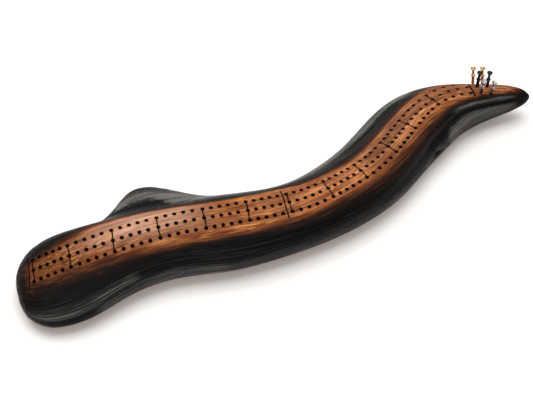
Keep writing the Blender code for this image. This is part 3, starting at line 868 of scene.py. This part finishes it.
def uncut_values(points, uncut):
    """How deep points lie in the log before the cuts, and the painted light of its strokes near them."""
    bm = bmesh.new()
    bm.from_mesh(uncut)
    surface = BVHTree.FromBMesh(bm)
    face_corners = [[vert.index for vert in face.verts] for face in bm.faces]
    bm.free()
    _, painted_light_of_strokes = stroke_values(*fine_places())
    depth, stroke_painted_light = np.zeros(len(points)), np.zeros(len(points))
    for k, point in enumerate(points.tolist()):
        near, normal, face, _ = surface.find_nearest(point)
        depth[k] = (near - Vector(point)).dot(normal)
        stroke_painted_light[k] = painted_light_of_strokes[face_corners[face]].mean()
    return depth, stroke_painted_light


def hole_gaps(points):
    """Distance of points from the rim of the nearest track hole."""
    places = hole_frames()
    mouths = KDTree(len(places))
    for k, place in enumerate(places):
        mouths.insert(place.translation, k)
    mouths.balance()
    return np.array([mouths.find(point)[2] for point in points.tolist()]) - SINK_RADIUS


def build_board():
    """The log itself: fine surface, cuts, and the values that its finish reads."""
    uncut = fine_log_mesh()
    board = add_object("board_wood", uncut)
    for cutter_mesh in (under_mesh(), scribe_mesh(), drill_mesh()):
        cut_away(board, cutter_mesh)
    mesh = board.data
    mesh.shade_smooth()
    mesh.set_sharp_from_angle(angle=SHARP_ANGLE)
    points = read_vectors(mesh.vertices, "co")
    depth, stroke_painted_light = uncut_values(points, uncut)
    set_attribute(mesh, "grain", grain_places(points))
    set_attribute(mesh, "flow", flow_places(points))
    set_attribute(mesh, "strip", strip_values(points))
    # walls of the cuts: burnt in the lines, painted shade in the holes
    set_attribute(mesh, "burn_and_shade", np.clip(depth / SINK_DEPTH, 0, 1))
    set_attribute(mesh, "rim", np.clip(1 - hole_gaps(points) / RIM_REACH, 0, 1))
    # painted sheen on the char where strokes are light
    set_attribute(mesh, "painted_char_sheen", np.clip(stroke_painted_light, 0, PAINTED_CHAR_SHEEN_LIMIT))
    # painted shade where strokes are dark
    set_attribute(mesh, "painted_shade", np.clip(-stroke_painted_light, 0, 1))
    share, _, _ = straighten(points)
    # painted sheen of the strip, palest along its back row
    pale, front = painted_sheen_values(points)
    set_attribute(mesh, "gold", smooth(GOLD_SHARES, share) * (1 + FRONT_GOLD * front))
    set_attribute(mesh, "pale", pale)
    set_attribute(mesh, "light", smooth(LIGHT_SHARES, share))
    mesh.materials.clear()
    mesh.materials.append(wood_material())
    mesh.polygons.foreach_set("material_index", [0] * len(mesh.polygons))
    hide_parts("board_body")
    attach(board, "board")


class Shader:
    """A material's nodes, added and linked by short calls."""

    def __init__(self, name, **settings):
        self.material = bpy.data.materials.new(name)
        self.material.use_nodes = True
        self.tree = self.material.node_tree
        self.surface = self.tree.nodes["Principled BSDF"]
        for socket, value in settings.items():
            self.surface.inputs[socket.replace("_", " ")].default_value = value

    def put(self, socket, value):
        """Link a socket to another, or set its value."""
        if isinstance(value, bpy.types.NodeSocket):
            self.tree.links.new(value, socket)
        elif isinstance(value, tuple) and socket.type == "RGBA":
            socket.default_value = (*value, 1)
        else:
            socket.default_value = value

    def node(self, kind, *values, **settings):
        """Add a node with these values on its first inputs."""
        made = self.tree.nodes.new("ShaderNode" + kind)
        for key, value in settings.items():
            setattr(made, key, value)
        for socket, value in zip(made.inputs, values):
            self.put(socket, value)
        return made

    def attribute(self, name, output="Fac"):
        """A value that the mesh carries at each of its points."""
        return self.node("Attribute", attribute_name=name).outputs[output]

    def math(self, operation, *values):
        return self.node("Math", *values, operation=operation).outputs[0]

    def spread(self, value, low, high, to_low=0.0, to_high=1.0):
        """Map a span of values to another, held at its ends."""
        return self.node("MapRange", value, low, high, to_low, to_high, clamp=True).outputs[0]

    def mix(self, share, first, second, blend="MIX"):
        """Mix two colours. A Mix node's colours are its inputs 6 and 7, and its output 2."""
        made = self.node("Mix", data_type="RGBA", blend_type=blend)
        for index, value in ((0, share), (6, first), (7, second)):
            self.put(made.inputs[index], value)
        return made.outputs[2]

    def ramp(self, value, stops):
        """Colours that change with a value, each stop a place and its colour."""
        made = self.node("ValToRGB", value)
        ramp = made.color_ramp
        while len(ramp.elements) < len(stops):
            ramp.elements.new(0.5)
        for element, (place, colour) in zip(ramp.elements, stops):
            element.position = place
            element.color = (*colour, 1)
        return made.outputs[0]

    def noise(self, places, rate, detail, roughness, distortion):
        """Noise with its own rate of ripples along, across and up."""
        scaled = self.node("VectorMath", places, rate, operation="MULTIPLY").outputs[0]
        made = self.node("TexNoise")
        self.put(made.inputs["Vector"], scaled)
        values = {"Scale": 1.0, "Detail": detail, "Roughness": roughness, "Distortion": distortion}
        for socket, value in values.items():
            self.put(made.inputs[socket], value)
        return made.outputs["Fac"]

    def bump(self, height, distance, strength):
        """Bumps as high as a distance where the height is 1."""
        made = self.node("Bump")
        for socket, value in (("Height", height), ("Distance", distance), ("Strength", strength)):
            self.put(made.inputs[socket], value)
        return made.outputs[0]

    def finish(self, colour, roughness, normal=None):
        """Put colour, roughness and bumps on the surface, and hand out the material."""
        self.put(self.surface.inputs["Base Color"], colour)
        self.put(self.surface.inputs["Roughness"], roughness)
        if normal:
            self.put(self.surface.inputs["Normal"], normal)
        return self.material


def wood_material():
    """Golden brown heartwood along the track that runs through scorched red-brown into char."""
    shader = Shader("charred_wood", Specular_IOR_Level=WOOD_SPECULAR)
    places = shader.attribute("grain", "Vector")
    patch = shader.noise(places, *PATCH_NOISE)
    broad = shader.noise(places, *BROAD_NOISE)
    streak = shader.noise(places, *STREAK_NOISE)
    fibre = shader.noise(places, *FIBRE_NOISE)
    fleck = shader.noise(places, *FLECK_NOISE)
    # the wood along the track
    tone = shader.math("MULTIPLY_ADD", shader.math("SUBTRACT", streak, broad), STREAK_SHARE, broad)
    wood = shader.ramp(tone, WOOD_STOPS)
    # painted sheen of the strip, mixed into its colour
    sheen = shader.ramp(tone, PAINTED_SHEEN_STOPS)
    wood = shader.mix(shader.math("MULTIPLY", shader.attribute("pale"), PAINTED_SHEEN_SHARE), wood, sheen)
    gold = shader.math("MULTIPLY", shader.spread(fleck, *GOLD_SPAN), shader.attribute("gold"))
    wood = shader.mix(gold, wood, GOLD_COLOUR)
    wood = shader.mix(shader.spread(patch, *PATCH_SPAN), wood, PATCH_COLOUR)
    wood = shader.mix(1.0, wood, shader.attribute("light", "Color"), "MULTIPLY")
    veins = shader.spread(shader.noise(places, *VEIN_NOISE), *VEIN_SPAN)
    wood = shader.mix(veins, wood, VEIN_COLOUR)
    wood = shader.mix(shader.spread(fibre, *FIBRE_SPAN), wood, FIBRE_COLOUR)
    # the char of the flanks, with painted sheen and reflection on its light strokes and bare wood low down
    strands = shader.noise(shader.attribute("flow", "Vector"), *STRAND_NOISE)
    char = shader.ramp(strands, CHAR_STOPS)
    painted_char_sheen_mask = shader.math("MULTIPLY", shader.attribute("painted_char_sheen"), shader.spread(strands, *PAINTED_CHAR_SHEEN_SPAN))
    char = shader.mix(painted_char_sheen_mask, char, shader.ramp(strands, PAINTED_CHAR_SHEEN_STOPS))
    low = shader.spread(shader.node("SeparateXYZ", places).outputs["Z"], *BARE_HEIGHT_SPAN)
    char = shader.mix(shader.math("MULTIPLY", low, shader.spread(broad, *BARE_SPAN)), char, BARE_COLOUR)
    # the scorched edge between the two
    edge_noise = shader.math("SUBTRACT", shader.noise(places, *EDGE_NOISE), NOISE_MIDDLE)
    inside = shader.math("MULTIPLY_ADD", edge_noise, EDGE_DRIFT, shader.attribute("strip"))
    scorch = shader.ramp(shader.spread(inside, *SCORCH_SPAN), SCORCH_STOPS)
    body = shader.mix(shader.spread(inside, *CHAR_EDGE_SPAN), char, scorch)
    body = shader.mix(shader.spread(inside, *WOOD_EDGE_SPAN), body, wood)
    # burnt rims, painted shade on the carved strokes, and the near black walls of the cuts, burnt in the
    # lines and painted shade in the holes
    body = shader.mix(shader.spread(shader.attribute("rim"), *RIM_SPAN), body, RIM_COLOUR)
    body = shader.mix(shader.math("MULTIPLY", shader.attribute("painted_shade"), PAINTED_SHADE_SHARE), body, PAINTED_SHADE_COLOUR)
    body = shader.mix(shader.spread(shader.attribute("burn_and_shade"), *CUT_BURN_AND_SHADE_SPAN), body, CUT_BURN_AND_SHADE_COLOUR)
    roughness = shader.spread(inside, *WOOD_ROUGHNESS_SPAN)
    height = shader.math("MULTIPLY_ADD", fibre, FIBRE_BUMP_SHARE, strands)
    return shader.finish(body, roughness, shader.bump(height, *WOOD_BUMP))


def metal_material(name, colour, stained_colour, stained, roughness, metallic):
    """Turned metal: fine rings round its axis, darker in places."""
    shader = Shader(name, Metallic=metallic, Specular_IOR_Level=METAL_SPECULAR)
    places = shader.node("TexCoord").outputs["Object"]
    rings = shader.noise(places, *RING_NOISE)
    stain = shader.noise(places, *STAIN_NOISE)
    tint = shader.mix(shader.spread(stain, *STAIN_SPAN, stained), colour, stained_colour)
    drift = METAL_ROUGHNESS_DRIFT
    rough = shader.math("MULTIPLY_ADD", shader.math("ADD", rings, stain), drift, roughness - drift)
    return shader.finish(tint, rough, shader.bump(rings, *RING_BUMP))


def rubber_material():
    """Matt black rubber with a fine grain."""
    shader = Shader("black_rubber")
    grain = shader.noise(shader.node("TexCoord").outputs["Object"], *RUBBER_NOISE)
    tint = shader.ramp(grain, RUBBER_STOPS)
    roughness = shader.spread(grain, *RUBBER_ROUGHNESS_SPAN)
    return shader.finish(tint, roughness, shader.bump(grain, *RUBBER_BUMP))


def peg_profile():
    """Radius and height of a peg from its head down to its tip, above and below the wood."""
    mouth = HOLE_DIAMETER / 2 * math.cos(math.pi / HOLE_SIDES) - FIT_GAP
    upper = [(HEAD_DIAMETER / 2 * radius, PEG_HEIGHT * height) for height, radius in PEG_OUTLINE_SHARES]
    lower = [(PEG_SEAT / 2, FIT_GAP), (mouth, FIT_GAP), (mouth * TIP_SHARE, FIT_GAP - HOLE_DEPTH)]
    return upper + lower + [(0, FIT_GAP - HOLE_DEPTH)]


def peg_mesh(place):
    """A closed turned peg in the board's frame."""
    bm = bmesh.new()
    angles = np.arange(PEG_SIDES) * 2 * math.pi / PEG_SIDES
    rows = []
    for radius, height in peg_profile():
        spots = [(0, 0, height)]
        if radius:
            spots = [(radius * math.cos(a), radius * math.sin(a), height) for a in angles]
        rows.append([bm.verts.new(place @ Vector(spot)) for spot in spots])
    for upper, lower in zip(rows[:-1], rows[1:]):
        for k in range(PEG_SIDES):
            corners = [upper[k % len(upper)], upper[k - 1 if len(upper) > 1 else 0]]
            corners += [lower[k - 1 if len(lower) > 1 else 0], lower[k % len(lower)]]
            bm.faces.new(list(dict.fromkeys(corners)))
    mesh = mesh_from(bm, "peg")
    mesh.shade_smooth()
    mesh.set_sharp_from_angle(angle=PEG_SHARP_ANGLE)
    return mesh


def build_pegs(metals):
    """Two pegs of each metal, standing in the start holes of their own row."""
    for row, name in zip(ROWS, ("brass", "black", "silver")):
        for number, letter, place in zip((1, 2), "ab", peg_frames(row)):
            peg = add_object(f"{name}_peg_turned_{number}", peg_mesh(place))
            peg.data.materials.append(metals[name])
            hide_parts(f"{name}_peg_{number}")
            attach(peg, f"{name}_peg_{letter}")


def dress_fittings(metals):
    """The cover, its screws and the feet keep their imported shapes."""
    rubber = rubber_material()
    for name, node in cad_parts.items():
        if name.startswith("foot"):
            node.data.materials.clear()
            node.data.materials.append(rubber)
        elif name.startswith(("cover", "storage")):
            node.data.materials.clear()
            node.data.materials.append(metals["brass"])


def build_floor():
    """Pale floor that shows white to the camera and in gloss, and keeps the shadow."""
    mesh = bpy.data.meshes.new("floor")
    half = FLOOR_SIZE / 2
    corners = [(-half, -half, 0), (half, -half, 0), (half, half, 0), (-half, half, 0)]
    mesh.from_pydata(corners, [], [(0, 1, 2, 3)])
    floor = add_object("floor", mesh)
    shader = Shader("floor")
    seen = shader.node("LightPath")
    bright = shader.math("MAXIMUM", seen.outputs["Is Camera Ray"], seen.outputs["Is Glossy Ray"])
    bright = shader.math("MAXIMUM", bright, seen.outputs["Is Transmission Ray"])
    colour = shader.mix(bright, FLOOR_COLOUR, FLOOR_SEEN_COLOUR)
    shader.surface.inputs["Emission Color"].default_value = (*FLOOR_GLOW_COLOUR, 1)
    shader.put(shader.surface.inputs["Emission Strength"], shader.math("MULTIPLY", bright, FLOOR_GLOW))
    shader.surface.inputs["Specular IOR Level"].default_value = 0
    mesh.materials.append(shader.finish(colour, 1.0))


def add_lamp(name, place, size, power, colour):
    """A rectangular lamp that faces the middle of the table."""
    light = bpy.data.lights.new(name, "AREA")
    light.shape = "RECTANGLE"
    light.size, light.size_y = size
    light.energy = power
    light.color = colour
    lamp = add_object(name, light)
    lamp.location = place
    lamp.rotation_euler = (-Vector(place)).to_track_quat("-Z", "Y").to_euler()


def build_light():
    """A soft studio: an even pale surround and the lamps."""
    scene = bpy.context.scene
    scene.view_settings.view_transform = "Standard"
    world = bpy.data.worlds.new("studio")
    scene.world = world
    world.use_nodes = True
    background = world.node_tree.nodes["Background"]
    background.inputs["Color"].default_value = (*WORLD_COLOUR, 1)
    background.inputs["Strength"].default_value = WORLD_STRENGTH
    for lamp in LAMPS:
        add_lamp(*lamp)


def build_camera():
    """The camera that the photo was taken from, as fitted to the rows of holes."""
    camera_data = bpy.data.cameras.new("camera")
    camera_data.sensor_fit = "HORIZONTAL"
    camera_data.sensor_width = SENSOR_WIDTH
    camera_data.lens = FOCAL_LENGTH
    camera = add_object("camera", camera_data)
    flat = math.cos(CAMERA_ELEVATION)
    back_x, back_y = math.sin(CAMERA_TURN) * flat, -math.cos(CAMERA_TURN) * flat
    back = Vector((back_x, back_y, math.sin(CAMERA_ELEVATION)))
    camera.location = Vector(CAMERA_TARGET) + CAMERA_DISTANCE * back
    camera.rotation_euler = (-back).to_track_quat("-Z", "Y").to_euler()
    bpy.context.scene.camera = camera


METALS = {name: metal_material(*look) for name, look in METAL_LOOKS.items()}
build_board()
build_pegs(METALS)
dress_fittings(METALS)
build_floor()
build_light()
build_camera()
